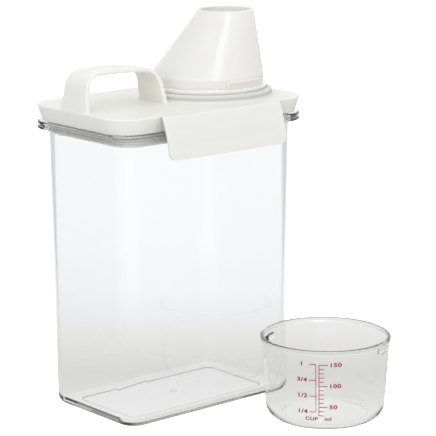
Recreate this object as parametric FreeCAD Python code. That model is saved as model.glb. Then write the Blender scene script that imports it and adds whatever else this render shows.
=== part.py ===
import FreeCAD, Part
import math
import os

# Cereal dispenser: a clear rectangular tub with a latched lid, a pouring spout off to
# one end, a strap handle at the other, and a measuring cup that caps the spout.
# Millimetres, +Z up. The origin is the centre of the tub's foot, on the surface it
# stands on. +X points to the spout's end, -Y to the long side with the front latch.

# Tub
FOOT_LENGTH = 127.0
FOOT_WIDTH = 78.7
MOUTH_LENGTH = 130.6
MOUTH_WIDTH = 81.4
TUB_CORNER = 12.5
TUB_WALL = 1.8
TUB_FLOOR = 3.0
FOOT_ROUNDING = 5.5
FLOOR_ROUNDING = 3.7
RECESS_LENGTH = 102.0
RECESS_WIDTH = 52.0
RECESS_CORNER = 6.0
RECESS_DEPTH = 1.0
GATE_RADIUS = 2.3

# Rim flange round the tub's mouth, which the latches hook under
FLANGE_LENGTH = 143.7
FLANGE_WIDTH = 91.4
FLANGE_CORNER = 16.0
FLANGE_BOTTOM = 169.3
FLANGE_TOP = 174.0
FLANGE_ROUNDING = 0.9
FLANGE_GROOVE_DEPTH = 1.5
FLANGE_GROOVE_HEIGHT = 1.1

# Lid
LID_LENGTH = 145.4
LID_WIDTH = 92.1
LID_CORNER = 18.0
LID_TOP = 183.75
LID_PLATE = 2.0
LID_SKIRT_LEAN = 3.0
LID_WALL = 1.8
LID_GAP = 0.3
LID_ROUNDING = 0.6
PLUG_DEPTH = 15.5
PLUG_WALL = 1.6
PLUG_BEAD = 1.3
PLUG_BEAD_HEIGHT = 1.4

# Lid seal, between the lid's plug and the tub's wall
SEAL_CLEARANCE = 0.2
SEAL_SPACE = 2.5
SEAL_BODY = 1.3
SEAL_HEIGHT = 5.0
SEAL_LIP_HEIGHT = 0.8
SEAL_LIPS = 2

# Strap handle
HANDLE_LEFT = -71.2
HANDLE_RIGHT = -10.9
HANDLE_LEFT_TOP = 206.9
HANDLE_RIGHT_TOP = 205.6
HANDLE_LEFT_LEAN = 6.0
HANDLE_RIGHT_LEAN = 11.5
HANDLE_LEG_THICKNESS = 3.0
HANDLE_GRIP_THICKNESS = 2.6
HANDLE_FOOT_WIDTH = 24.8
HANDLE_TOP_WIDTH = 20.5
HANDLE_LEFT_OUTER_BEND = 10.5
HANDLE_LEFT_INNER_BEND = 6.5
HANDLE_RIGHT_OUTER_BEND = 14.0
HANDLE_RIGHT_INNER_BEND = 10.0
HANDLE_EDGE_ROUNDING = 0.9
HANDLE_TANG_WIDTH = 16.0
HANDLE_TANG_THICKNESS = 1.5
HANDLE_TANG_HOOK = 0.9
HANDLE_TANG_FIT = 0.05

# Spout: a slanting cone on a round collar
SPOUT_X = 29.0
COLLAR_FLANGE_RADIUS = 36.1
COLLAR_FLANGE_BOTTOM = 188.5
COLLAR_FLANGE_TOP = 191.0
COLLAR_RADIUS = 33.9
COLLAR_TOP = 196.8
SPOUT_MOUTH_X = 43.9
SPOUT_MOUTH_RADIUS = 17.1
SPOUT_TOP = 234.2
SPOUT_WALL = 1.6
BARREL_RADIUS = 31.3
NECK_RADIUS = 27.5
NECK_WALL = 1.6
NECK_BOTTOM = 171.0
NECK_FIT = 0.1

# Bayonet cams on the collar that hold the cup when it caps the spout
CAM_COUNT = 2
CAM_START = 250.0
CAM_SWEEP = 45.0
CAM_HEIGHT = 1.3
CAM_DEPTH = 1.3
CAM_TOP = 195.9
CAM_STOP_SWEEP = 3.0
CAM_STOP_DROP = 2.2
DETENT_ANGLE = 270.0
DETENT_RADIUS = 0.8

# Low round seat on the lid, and the grey sealing ring between it and the spout
SEAT_RADIUS = 39.6
SEAT_HEIGHT = 1.25
RING_RADIUS = 39.2
RING_TOP_RADIUS = 37.4
RING_RIBS = 3
RING_RIB_DEPTH = 0.35

# Lock ring under the lid that clamps the spout
LOCK_RADIUS = 30.2
LOCK_HEIGHT = 4.0
LOCK_LUGS = 3
LUG_SWEEP = 26.0
LUG_DEPTH = 1.3
LUG_HEIGHT = 1.8
LUG_NOTCH_SPARE = 4.0
GRIP_NOTCHES = 12
GRIP_RADIUS = 1.4

# Latches: two flaps on living hinges along the lid's long edges
LATCH_LENGTH = 88.4
LATCH_THICKNESS = 1.8
LATCH_TOP_Y = 47.35
LATCH_SHOULDER_Y = 48.6
LATCH_SHOULDER_ROUNDING = 1.5
LATCH_ROOT_THICKNESS = 1.6
LATCH_MIDDLE_Y = 52.0
LATCH_MIDDLE_Z = 175.0
LATCH_END_Y = 55.3
LATCH_END_Z = 159.2
LATCH_CORNER = 4.5
LATCH_ROUNDING = 0.5
HOOK_REACH_Y = 44.4
HOOK_BACK_Y = 53.0
HOOK_TOP = 168.9
HOOK_HEIGHT = 1.8
HOOK_END_INSET = 7.0
HOOK_WEBS = 4
HOOK_WEB_THICKNESS = 1.4
HOOK_WEB_HEIGHT = 5.0
HINGE_Y = 46.7
HINGE_Z = 183.4
HINGE_HALF_GAP = 0.65
HINGE_FILM_RADIUS = 0.25

# Measuring cup, standing beside the tub
CUP_X = 43.5
CUP_Y = -90.1
CUP_RADIUS = 38.0
CUP_RIM_RADIUS = 38.5
CUP_RIM_HEIGHT = 2.5
CUP_HEIGHT = 49.7
CUP_BASE_RADIUS = 34.6
CUP_WALL = 1.5
CUP_FLOOR = 2.0
CUP_ROUNDING = 8.5
CUP_FOOT_RADIUS = 27.0
CUP_FOOT_RECESS = 0.5
LUG_COUNT = 2
CUP_LUG_START = 107.0
CUP_LUG_SWEEP = 18.0
CUP_LUG_DEPTH = 2.3
CUP_LUG_TOP = 45.6
CUP_LUG_HEIGHT = 3.0

# How near an edge must lie to a line or a height to be the one picked there
NEAR = 1e-3

UP = FreeCAD.Vector(0, 0, 1)


def vector(x, y, z):
    return FreeCAD.Vector(x, y, z)


def rounded_rectangle(length, width, corner, z):
    """A closed wire, centred on the Z axis, with the same four arcs and four lines each time."""
    edges = []
    ends = []
    for quarter, (side_x, side_y) in enumerate(((1, 1), (-1, 1), (-1, -1), (1, -1))):
        centre = vector(side_x * (length / 2 - corner), side_y * (width / 2 - corner), z)
        start = quarter * math.pi / 2
        arc = Part.Arc(Part.Circle(centre, UP, corner), start, start + math.pi / 2)
        ends.append((arc.StartPoint, arc.EndPoint))
        edges.append(arc.toShape())
    wire_edges = []
    for quarter in range(4):
        wire_edges.append(edges[quarter])
        following = ends[(quarter + 1) % 4][0]
        wire_edges.append(Part.makeLine(ends[quarter][1], following))
    return Part.Wire(wire_edges)


def slab(length, width, corner, bottom, top):
    """An upright block with rounded corners."""
    face = Part.Face(rounded_rectangle(length, width, corner, bottom))
    return face.extrude(vector(0, 0, top - bottom))


def tapered_slab(bottom_size, bottom, top_size, top):
    """A block whose length, width and corner change evenly with height."""
    wires = [rounded_rectangle(*bottom_size, bottom), rounded_rectangle(*top_size, top)]
    return Part.makeLoft(wires, True, True)


def frame_slab(length, width, corner, wall, bottom, top):
    """An upright tube of rounded-rectangle section, with the wall measured inwards."""
    inside = slab(length - 2 * wall, width - 2 * wall, corner - wall, bottom, top)
    return slab(length, width, corner, bottom, top).cut(inside)


def cylinder(radius, bottom, top, x=0.0, y=0.0):
    return Part.makeCylinder(radius, top - bottom, vector(x, y, bottom), UP)


def tube(outer, inner, bottom, top, x=0.0, y=0.0):
    return cylinder(outer, bottom, top, x, y).cut(cylinder(inner, bottom, top, x, y))


def sector(outer, inner, bottom, top, start, sweep, x=0.0, y=0.0):
    """Part of an upright tube, from the angle start through the angle sweep, in degrees."""
    profile = Part.makePolygon([
        vector(inner, 0, bottom), vector(outer, 0, bottom),
        vector(outer, 0, top), vector(inner, 0, top), vector(inner, 0, bottom),
    ])
    solid = Part.Face(profile).revolve(vector(0, 0, 0), UP, sweep)
    solid.rotate(vector(0, 0, 0), UP, start)
    solid.translate(vector(x, y, 0))
    return solid


def turned(points, x=0.0, y=0.0):
    """A solid of revolution from (radius, height) points, given round the section in order."""
    corners = [vector(radius, 0, height) for radius, height in points]
    solid = Part.Face(Part.makePolygon(corners + corners[:1])).revolve(vector(0, 0, 0), UP, 360)
    solid.translate(vector(x, y, 0))
    return solid


def edges_at(shape, height):
    """The edges that lie level at this height."""
    found = []
    for edge in shape.Edges:
        box = edge.BoundBox
        if abs(box.ZMin - height) < NEAR and abs(box.ZMax - height) < NEAR:
            found.append(edge)
    return found


def union(shapes):
    return shapes[0].multiFuse(shapes[1:]).removeSplitter()


def half_turn(shape):
    """The same shape on the other long side, turned about the Z axis."""
    copy = shape.copy()
    copy.rotate(vector(0, 0, 0), UP, 180)
    return copy


def mouth_inside():
    """Length, width and corner of the space inside the tub's mouth."""
    return (
        MOUTH_LENGTH - 2 * TUB_WALL,
        MOUTH_WIDTH - 2 * TUB_WALL,
        TUB_CORNER - TUB_WALL,
    )


def plug_outside():
    """Length, width and corner of the lid's plug, which carries the seal."""
    length, width, corner = mouth_inside()
    return length - 2 * SEAL_SPACE, width - 2 * SEAL_SPACE, corner - SEAL_SPACE


def container_body():
    outside = tapered_slab(
        (FOOT_LENGTH, FOOT_WIDTH, TUB_CORNER), 0,
        (MOUTH_LENGTH, MOUTH_WIDTH, TUB_CORNER), FLANGE_TOP,
    )
    outside = outside.makeFillet(FOOT_ROUNDING, edges_at(outside, 0))
    inner_foot = (FOOT_LENGTH - 2 * TUB_WALL, FOOT_WIDTH - 2 * TUB_WALL, TUB_CORNER - TUB_WALL)
    inside = tapered_slab(inner_foot, TUB_FLOOR, mouth_inside(), FLANGE_TOP)
    inside = inside.makeFillet(FLOOR_ROUNDING, edges_at(inside, TUB_FLOOR))
    flange = slab(FLANGE_LENGTH, FLANGE_WIDTH, FLANGE_CORNER, FLANGE_BOTTOM, FLANGE_TOP)
    level_edges = edges_at(flange, FLANGE_BOTTOM) + edges_at(flange, FLANGE_TOP)
    flange = flange.makeFillet(FLANGE_ROUNDING, level_edges)
    groove_bottom = (FLANGE_BOTTOM + FLANGE_TOP - FLANGE_GROOVE_HEIGHT) / 2
    groove = frame_slab(
        FLANGE_LENGTH, FLANGE_WIDTH, FLANGE_CORNER, FLANGE_GROOVE_DEPTH,
        groove_bottom, groove_bottom + FLANGE_GROOVE_HEIGHT,
    )
    recess = slab(RECESS_LENGTH, RECESS_WIDTH, RECESS_CORNER, 0, RECESS_DEPTH)
    gate = cylinder(GATE_RADIUS, RECESS_DEPTH / 2, RECESS_DEPTH)
    return outside.fuse(flange.cut(groove)).cut(inside).cut(recess).fuse(gate).removeSplitter()


def handle_tang_places():
    """The X of the middle of each tang, which is flush with the inside of its leg."""
    left = HANDLE_LEFT + HANDLE_LEG_THICKNESS / math.cos(math.radians(HANDLE_LEFT_LEAN))
    right = HANDLE_RIGHT - HANDLE_LEG_THICKNESS / math.cos(math.radians(HANDLE_RIGHT_LEAN))
    return left - HANDLE_TANG_THICKNESS / 2, right + HANDLE_TANG_THICKNESS / 2


def handle_slots(spare):
    """The tangs under the handle's legs, grown all round by spare, down through the plate."""
    tangs = []
    for x in handle_tang_places():
        thickness = HANDLE_TANG_THICKNESS + 2 * spare
        width = HANDLE_TANG_WIDTH + 2 * spare
        corner = vector(x - thickness / 2, -width / 2, LID_TOP - LID_PLATE)
        tangs.append(Part.makeBox(thickness, width, LID_PLATE, corner))
    return tangs


def lid_panel():
    skirt_bottom = FLANGE_TOP + LID_GAP
    lower = (
        LID_LENGTH - 2 * LID_SKIRT_LEAN, LID_WIDTH - 2 * LID_SKIRT_LEAN, LID_CORNER - LID_SKIRT_LEAN,
    )
    shell = tapered_slab(lower, skirt_bottom, (LID_LENGTH, LID_WIDTH, LID_CORNER), LID_TOP)
    shell = shell.makeFillet(LID_ROUNDING, edges_at(shell, LID_TOP))
    plate_bottom = LID_TOP - LID_PLATE
    inner_lower = tuple(size - 2 * LID_WALL for size in lower[:2]) + (lower[2] - LID_WALL,)
    inner_upper = (
        LID_LENGTH - 2 * LID_WALL, LID_WIDTH - 2 * LID_WALL, LID_CORNER - LID_WALL,
    )
    hollow = tapered_slab(inner_lower, skirt_bottom, inner_upper, LID_TOP)
    hollow = hollow.common(slab(LID_LENGTH, LID_WIDTH, LID_CORNER, skirt_bottom, plate_bottom))
    length, width, corner = plug_outside()
    plug_bottom = plate_bottom - PLUG_DEPTH
    plug = frame_slab(length, width, corner, PLUG_WALL, plug_bottom, plate_bottom)
    bead = frame_slab(
        length + 2 * PLUG_BEAD, width + 2 * PLUG_BEAD, corner + PLUG_BEAD,
        PLUG_BEAD + PLUG_WALL, plug_bottom, plug_bottom + PLUG_BEAD_HEIGHT,
    )
    seat_top = LID_TOP + SEAT_HEIGHT
    seat = cylinder(SEAT_RADIUS, plate_bottom, seat_top, SPOUT_X)
    hole = cylinder(NECK_RADIUS + NECK_FIT, plate_bottom, seat_top, SPOUT_X)
    return union([shell.cut(hollow), plug, bead, seat]).cut(hole).cut(handle_slots(HANDLE_TANG_FIT))


def lid_seal():
    length, width, corner = plug_outside()
    bottom = LID_TOP - LID_PLATE - PLUG_DEPTH + PLUG_BEAD_HEIGHT
    body = frame_slab(
        length + 2 * SEAL_BODY, width + 2 * SEAL_BODY, corner + SEAL_BODY,
        SEAL_BODY, bottom, bottom + SEAL_HEIGHT,
    )
    reach = SEAL_SPACE - SEAL_CLEARANCE
    rings = [body]
    pitch = SEAL_HEIGHT / SEAL_LIPS
    for lip in range(SEAL_LIPS):
        lip_bottom = bottom + (lip + 0.5) * pitch - SEAL_LIP_HEIGHT / 2
        rings.append(frame_slab(
            length + 2 * reach, width + 2 * reach, corner + reach,
            reach, lip_bottom, lip_bottom + SEAL_LIP_HEIGHT,
        ))
    return union(rings)


def arch(leg_inset, grip_inset, bends):
    """The block under the handle's outline seen from the side, with its two top bends rounded."""
    left_slope = math.tan(math.radians(HANDLE_LEFT_LEAN))
    right_slope = math.tan(math.radians(HANDLE_RIGHT_LEAN))
    left = HANDLE_LEFT + leg_inset / math.cos(math.radians(HANDLE_LEFT_LEAN))
    right = HANDLE_RIGHT - leg_inset / math.cos(math.radians(HANDLE_RIGHT_LEAN))
    left_rise = HANDLE_LEFT_TOP - grip_inset - LID_TOP
    right_rise = HANDLE_RIGHT_TOP - grip_inset - LID_TOP
    near = -HANDLE_FOOT_WIDTH / 2
    points = [
        vector(left, near, LID_TOP),
        vector(left + left_slope * left_rise, near, LID_TOP + left_rise),
        vector(right - right_slope * right_rise, near, LID_TOP + right_rise),
        vector(right, near, LID_TOP),
    ]
    face = Part.Face(Part.makePolygon(points + points[:1]))
    block = face.extrude(vector(0, HANDLE_FOOT_WIDTH, 0))
    for top_corner, bend in zip(points[1:3], bends):
        corner_edges = []
        for edge in block.Edges:
            box = edge.BoundBox
            at_corner = abs(box.XMin - top_corner.x) < NEAR and abs(box.ZMin - top_corner.z) < NEAR
            if at_corner and box.YLength > HANDLE_FOOT_WIDTH / 2:
                corner_edges.append(edge)
        block = block.makeFillet(bend, corner_edges)
    return block


def carry_handle():
    outside = arch(0, 0, (HANDLE_LEFT_OUTER_BEND, HANDLE_RIGHT_OUTER_BEND))
    inner_bends = (HANDLE_LEFT_INNER_BEND, HANDLE_RIGHT_INNER_BEND)
    strap = outside.cut(arch(HANDLE_LEG_THICKNESS, HANDLE_GRIP_THICKNESS, inner_bends))
    foot, top = HANDLE_FOOT_WIDTH / 2, HANDLE_TOP_WIDTH / 2
    side_view = Part.makePolygon([
        vector(HANDLE_LEFT, -foot, LID_TOP), vector(HANDLE_LEFT, foot, LID_TOP),
        vector(HANDLE_LEFT, top, HANDLE_LEFT_TOP), vector(HANDLE_LEFT, -top, HANDLE_LEFT_TOP),
        vector(HANDLE_LEFT, -foot, LID_TOP),
    ])
    waist = Part.Face(side_view).extrude(vector(HANDLE_RIGHT - HANDLE_LEFT, 0, 0))
    strap = strap.common(waist)
    long_edges = []
    for edge in strap.Edges:
        box = edge.BoundBox
        level = box.ZMax < LID_TOP + NEAR
        across = box.YLength > HANDLE_TOP_WIDTH / 2
        if not level and not across:
            long_edges.append(edge)
    strap = strap.makeFillet(HANDLE_EDGE_ROUNDING, long_edges)
    solids = [strap] + handle_slots(0)
    for x, direction in zip(handle_tang_places(), (1, -1)):
        near = x - direction * HANDLE_TANG_THICKNESS / 2
        length = HANDLE_TANG_THICKNESS + HANDLE_TANG_HOOK
        start = near if direction > 0 else near - length
        top = LID_TOP - LID_PLATE
        height = HANDLE_TANG_THICKNESS
        corner = vector(start, -HANDLE_TANG_WIDTH / 2, top - height)
        solids.append(Part.makeBox(length, HANDLE_TANG_WIDTH, height, corner))
    return union(solids)


def slanted_cone(inset):
    """The cone from the collar's top to the middle of the mouth's lip, moved inwards by inset."""
    circles = []
    for x, radius, height in (
        (SPOUT_X, COLLAR_RADIUS, COLLAR_TOP),
        (SPOUT_MOUTH_X, SPOUT_MOUTH_RADIUS, SPOUT_TOP - SPOUT_WALL / 2),
    ):
        circles.append(Part.Wire(Part.makeCircle(radius - inset, vector(x, 0, height), UP)))
    return Part.makeLoft(circles, True, True)


def bayonet_cams():
    """Raised tracks on the collar, each with an end stop and a click bump below it."""
    pieces = []
    for turn in range(CAM_COUNT):
        start = CAM_START + turn * 360 / CAM_COUNT
        outer = COLLAR_RADIUS + CAM_DEPTH
        inner = COLLAR_RADIUS - SPOUT_WALL / 2
        bottom = CAM_TOP - CAM_HEIGHT
        pieces.append(sector(outer, inner, bottom, CAM_TOP, start, CAM_SWEEP, SPOUT_X))
        stop_bottom = bottom - CAM_STOP_DROP + CAM_HEIGHT / 2
        pieces.append(sector(outer, inner, stop_bottom, bottom, start, CAM_STOP_SWEEP, SPOUT_X))
        angle = math.radians(DETENT_ANGLE + turn * 360 / CAM_COUNT)
        pieces.append(cylinder(
            DETENT_RADIUS, COLLAR_FLANGE_TOP - SPOUT_WALL / 2, COLLAR_FLANGE_TOP + 2 * DETENT_RADIUS,
            SPOUT_X + COLLAR_RADIUS * math.cos(angle), COLLAR_RADIUS * math.sin(angle),
        ))
    return pieces


def neck_lugs():
    """Lugs round the neck that the lock ring turns over."""
    top = LID_TOP - LID_PLATE - LOCK_HEIGHT
    lugs = []
    for turn in range(LOCK_LUGS):
        start = turn * 360 / LOCK_LUGS - LUG_SWEEP / 2
        lugs.append(sector(
            NECK_RADIUS + LUG_DEPTH, NECK_RADIUS - NECK_WALL / 2, top - LUG_HEIGHT, top,
            start, LUG_SWEEP, SPOUT_X,
        ))
    return lugs


def spout():
    neck_inside = NECK_RADIUS - NECK_WALL
    collar_inside = COLLAR_RADIUS - SPOUT_WALL
    seat_top = LID_TOP + SEAT_HEIGHT
    collar = turned([
        (neck_inside, NECK_BOTTOM), (NECK_RADIUS, NECK_BOTTOM), (NECK_RADIUS, seat_top),
        (BARREL_RADIUS, seat_top), (BARREL_RADIUS, COLLAR_FLANGE_BOTTOM),
        (COLLAR_FLANGE_RADIUS, COLLAR_FLANGE_BOTTOM), (COLLAR_FLANGE_RADIUS, COLLAR_FLANGE_TOP),
        (COLLAR_RADIUS, COLLAR_FLANGE_TOP), (COLLAR_RADIUS, COLLAR_TOP),
        (collar_inside, COLLAR_TOP), (collar_inside, COLLAR_FLANGE_BOTTOM + SPOUT_WALL),
        (neck_inside, seat_top + SPOUT_WALL),
    ], SPOUT_X)
    rim_edges = [
        edge for edge in edges_at(collar, COLLAR_FLANGE_TOP) + edges_at(collar, COLLAR_FLANGE_BOTTOM)
        if edge.BoundBox.XLength > COLLAR_FLANGE_RADIUS + COLLAR_RADIUS
    ]
    collar = collar.makeFillet(LID_ROUNDING, rim_edges)
    shell = slanted_cone(0).cut(slanted_cone(SPOUT_WALL))
    lip = Part.makeTorus(
        SPOUT_MOUTH_RADIUS - SPOUT_WALL / 2, SPOUT_WALL / 2,
        vector(SPOUT_MOUTH_X, 0, SPOUT_TOP - SPOUT_WALL / 2), UP, 0, 180,
    )
    return union([collar, shell, lip] + bayonet_cams() + neck_lugs())


def spout_seal():
    seat_top = LID_TOP + SEAT_HEIGHT
    height = COLLAR_FLANGE_BOTTOM - seat_top
    ring = turned([
        (BARREL_RADIUS, seat_top), (RING_RADIUS, seat_top),
        (RING_RADIUS, COLLAR_FLANGE_BOTTOM - height / 3), (RING_TOP_RADIUS, COLLAR_FLANGE_BOTTOM),
        (BARREL_RADIUS, COLLAR_FLANGE_BOTTOM),
    ], SPOUT_X)
    pitch = height * 2 / 3 / RING_RIBS
    for rib in range(RING_RIBS - 1):
        bottom = seat_top + (rib + 1) * pitch - RING_RIB_DEPTH / 2
        groove = tube(
            RING_RADIUS, RING_RADIUS - RING_RIB_DEPTH, bottom, bottom + RING_RIB_DEPTH, SPOUT_X,
        )
        ring = ring.cut(groove)
    return ring


def spout_lock_ring():
    top = LID_TOP - LID_PLATE
    bottom = top - LOCK_HEIGHT
    ring = tube(LOCK_RADIUS, NECK_RADIUS + NECK_FIT, bottom, top, SPOUT_X)
    for turn in range(LOCK_LUGS):
        start = (turn + 0.5) * 360 / LOCK_LUGS - LUG_SWEEP / 2 - LUG_NOTCH_SPARE / 2
        ring = ring.cut(sector(
            NECK_RADIUS + LUG_DEPTH + NECK_FIT, NECK_RADIUS, bottom, top,
            start, LUG_SWEEP + LUG_NOTCH_SPARE, SPOUT_X,
        ))
    for notch in range(GRIP_NOTCHES):
        angle = (notch + 0.5) * 2 * math.pi / GRIP_NOTCHES
        reach = LOCK_RADIUS + GRIP_RADIUS / 2
        x = SPOUT_X + reach * math.cos(angle)
        ring = ring.cut(cylinder(GRIP_RADIUS, bottom, top, x, reach * math.sin(angle)))
    return ring


def latch_blade():
    """The flap: a short flat root on the fold line, a rounded shoulder and a curved blade."""
    inset = LATCH_THICKNESS
    outer = Part.Arc(
        vector(0, -LATCH_SHOULDER_Y, LID_TOP),
        vector(0, -LATCH_MIDDLE_Y, LATCH_MIDDLE_Z),
        vector(0, -LATCH_END_Y, LATCH_END_Z),
    )
    inner = Part.Arc(
        vector(0, inset - LATCH_END_Y, LATCH_END_Z),
        vector(0, inset - LATCH_MIDDLE_Y, LATCH_MIDDLE_Z),
        vector(0, -LATCH_TOP_Y, LID_TOP - LATCH_ROOT_THICKNESS),
    )
    root = vector(0, -LATCH_TOP_Y, LID_TOP)
    section = Part.Wire([
        Part.makeLine(root, outer.StartPoint),
        outer.toShape(),
        Part.makeLine(outer.EndPoint, inner.StartPoint),
        inner.toShape(),
        Part.makeLine(inner.EndPoint, root),
    ])
    blade = Part.Face(section).extrude(vector(LATCH_LENGTH, 0, 0))
    blade.translate(vector(-LATCH_LENGTH / 2, 0, 0))
    shoulder = [
        edge for edge in blade.Edges
        if edge.BoundBox.XLength > LATCH_LENGTH / 2
        and abs(edge.BoundBox.YMin + LATCH_SHOULDER_Y) < NEAR
        and abs(edge.BoundBox.ZMax - LID_TOP) < NEAR
    ]
    blade = blade.makeFillet(LATCH_SHOULDER_ROUNDING, shoulder)
    lower_corners = [
        edge for edge in blade.Edges
        if edge.BoundBox.XLength < NEAR and edge.BoundBox.ZMax < LATCH_END_Z + NEAR
    ]
    return blade.makeFillet(LATCH_CORNER, lower_corners)


def latch_hook():
    """A shelf along the flap that sits under the flange, stiffened by webs below it."""
    length = LATCH_LENGTH - 2 * HOOK_END_INSET
    bottom = HOOK_TOP - HOOK_HEIGHT
    shelf = Part.makeBox(
        length, HOOK_BACK_Y - HOOK_REACH_Y, HOOK_HEIGHT, vector(-length / 2, -HOOK_BACK_Y, bottom),
    )
    tip_edges = [
        edge for edge in shelf.Edges
        if edge.BoundBox.XLength > length / 2
        and abs(edge.BoundBox.YMax + HOOK_REACH_Y) < NEAR
    ]
    pieces = [shelf.makeFillet(LATCH_ROUNDING, tip_edges)]
    gap = (length - HOOK_WEB_THICKNESS) / (HOOK_WEBS - 1)
    for web in range(HOOK_WEBS):
        x = -length / 2 + web * gap
        triangle = Part.makePolygon([
            vector(x, -HOOK_BACK_Y, bottom), vector(x, -HOOK_REACH_Y - HOOK_HEIGHT, bottom),
            vector(x, -HOOK_BACK_Y, bottom - HOOK_WEB_HEIGHT), vector(x, -HOOK_BACK_Y, bottom),
        ])
        pieces.append(Part.Face(triangle).extrude(vector(HOOK_WEB_THICKNESS, 0, 0)))
    return pieces


def front_latch():
    knuckle_space = Part.makeCylinder(
        HINGE_HALF_GAP, LATCH_LENGTH, vector(-LATCH_LENGTH / 2, -HINGE_Y, HINGE_Z), vector(1, 0, 0),
    )
    return union([latch_blade()] + latch_hook()).cut(knuckle_space)


def front_hinge_film():
    """The thin web of the living hinge, fixed to the lid's edge and ending on the fold line."""
    edge_y = LID_WIDTH / 2
    bead = Part.makeCylinder(
        HINGE_FILM_RADIUS, LATCH_LENGTH, vector(-LATCH_LENGTH / 2, -HINGE_Y, HINGE_Z),
        vector(1, 0, 0),
    )
    web = Part.makeBox(
        LATCH_LENGTH, HINGE_Y - edge_y + LID_ROUNDING, 2 * HINGE_FILM_RADIUS,
        vector(-LATCH_LENGTH / 2, -HINGE_Y, HINGE_Z - HINGE_FILM_RADIUS),
    )
    return union([bead, web]).cut(lid_panel())


def measuring_cup():
    straight = CUP_HEIGHT - CUP_RIM_HEIGHT
    outside = Part.makeCone(CUP_BASE_RADIUS, CUP_RADIUS, CUP_HEIGHT)
    outside = outside.makeFillet(CUP_ROUNDING, edges_at(outside, 0))
    inside = Part.makeCone(
        CUP_BASE_RADIUS - CUP_WALL, CUP_RADIUS - CUP_WALL, CUP_HEIGHT - CUP_FLOOR,
        vector(0, 0, CUP_FLOOR),
    )
    inside = inside.makeFillet(CUP_ROUNDING - CUP_WALL, edges_at(inside, CUP_FLOOR))
    rim = cylinder(CUP_RIM_RADIUS, straight, CUP_HEIGHT)
    rim = rim.makeFillet(LID_ROUNDING, edges_at(rim, straight) + edges_at(rim, CUP_HEIGHT))
    foot_recess = cylinder(CUP_FOOT_RADIUS - CUP_WALL, 0, CUP_FOOT_RECESS)
    cup = outside.fuse(rim).cut(inside).cut(foot_recess)
    lugs = []
    for turn in range(LUG_COUNT):
        lugs.append(sector(
            CUP_RADIUS - CUP_WALL / 2, CUP_RADIUS - CUP_WALL - CUP_LUG_DEPTH,
            CUP_LUG_TOP - CUP_LUG_HEIGHT, CUP_LUG_TOP,
            CUP_LUG_START + turn * 360 / LUG_COUNT, CUP_LUG_SWEEP,
        ))
    cup = union([cup] + lugs)
    cup.translate(vector(CUP_X, CUP_Y, 0))
    return cup


def write(name, shape):
    """Write one sub-part, as its solids only."""
    solids = shape.Solids
    body = solids[0] if len(solids) == 1 else Part.makeCompound(solids)
    body.exportStep("parts/" + name + ".step")


os.makedirs("parts", exist_ok=True)
front_flap = front_latch()
front_film = front_hinge_film()
write("container_body", container_body())
write("lid_panel", lid_panel())
write("lid_seal", lid_seal())
write("carry_handle", carry_handle())
write("spout", spout())
write("spout_seal", spout_seal())
write("spout_lock_ring", spout_lock_ring())
write("front_latch", front_flap)
write("back_latch", half_turn(front_flap))
write("front_hinge_film", front_film)
write("back_hinge_film", half_turn(front_film))
write("measuring_cup", measuring_cup())
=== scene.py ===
import math
from itertools import product

import bmesh
import bpy
from mathutils import Matrix, Vector


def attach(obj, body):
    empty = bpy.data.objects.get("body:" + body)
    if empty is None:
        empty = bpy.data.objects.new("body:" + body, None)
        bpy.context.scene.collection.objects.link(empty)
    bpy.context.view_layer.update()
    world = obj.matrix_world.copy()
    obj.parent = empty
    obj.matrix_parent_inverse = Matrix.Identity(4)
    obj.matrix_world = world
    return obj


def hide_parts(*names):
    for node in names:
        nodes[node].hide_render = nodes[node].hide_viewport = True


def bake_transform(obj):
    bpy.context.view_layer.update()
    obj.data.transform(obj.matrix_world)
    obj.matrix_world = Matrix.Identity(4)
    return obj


# Cereal dispenser: its looks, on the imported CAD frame. Lengths are in mm and become metres by MM,
# except in the materials, stage, lights and camera, which are in metres.
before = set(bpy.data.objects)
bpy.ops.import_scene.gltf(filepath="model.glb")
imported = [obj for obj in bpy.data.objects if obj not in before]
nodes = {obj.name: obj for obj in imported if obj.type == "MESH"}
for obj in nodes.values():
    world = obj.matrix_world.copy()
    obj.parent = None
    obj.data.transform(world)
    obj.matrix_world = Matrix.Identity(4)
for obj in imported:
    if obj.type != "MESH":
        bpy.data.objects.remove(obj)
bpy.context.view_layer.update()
MM = 0.001

# ---------------------------------------------------------------- sizes, as in the CAD model
# Rounded rectangles are (half length, half width, corner radius).
FOOT = (63.5, 39.35, 12.5)
MOUTH = (65.3, 40.7, 12.5)
TUB_TOP = 174.0
TUB_WALL = 1.8
TUB_FLOOR = 3.0
FOOT_ROUNDING = 5.5
FLOOR_ROUNDING = 3.7
FLANGE = (71.85, 45.7, 16.0)
FLANGE_BOTTOM = 169.3
FLANGE_ROUNDING = 0.9
GROOVE_HEIGHT = 1.1
GROOVE_DEPTH = 1.5
RECESS = (51.0, 26.0, 6.0)
RECESS_DEPTH = 1.0
CUP_CENTRE = (43.5, -90.1)
CUP_HEIGHT = 49.7
CUP_BASE_RADIUS = 34.6
CUP_RADIUS = 38.0
CUP_RIM_RADIUS = 38.48
CUP_RIM_HEIGHT = 2.5
CUP_WALL = 1.5
CUP_FLOOR = 2.0
CUP_ROUNDING = 8.5
CUP_FLOOR_ROUNDING = 7.0
CUP_FOOT_RADIUS = 25.5
CUP_FOOT_RECESS = 0.5
CUP_LUG_COUNT = 2
CUP_LUG_START = 107
CUP_LUG_SWEEP = 18
CUP_LUG_DEPTH = 2.3
CUP_LUG_BOTTOM = 42.6
CUP_LUG_TOP = 45.6
LATCH_HALF = 44.2
LATCH_THICKNESS = 1.8
LATCH_CORNER = 4.5
HINGE_Z = 183.4
LID_TOP = 183.75


# ---------------------------------------------------------------- mesh helpers
def smooth_shade(mesh, smooth_angle):
    """Smooth shading, with a sharp edge wherever faces meet at more than the angle in degrees."""
    mesh.shade_smooth()
    mesh.set_sharp_from_angle(angle=math.radians(smooth_angle))


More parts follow.
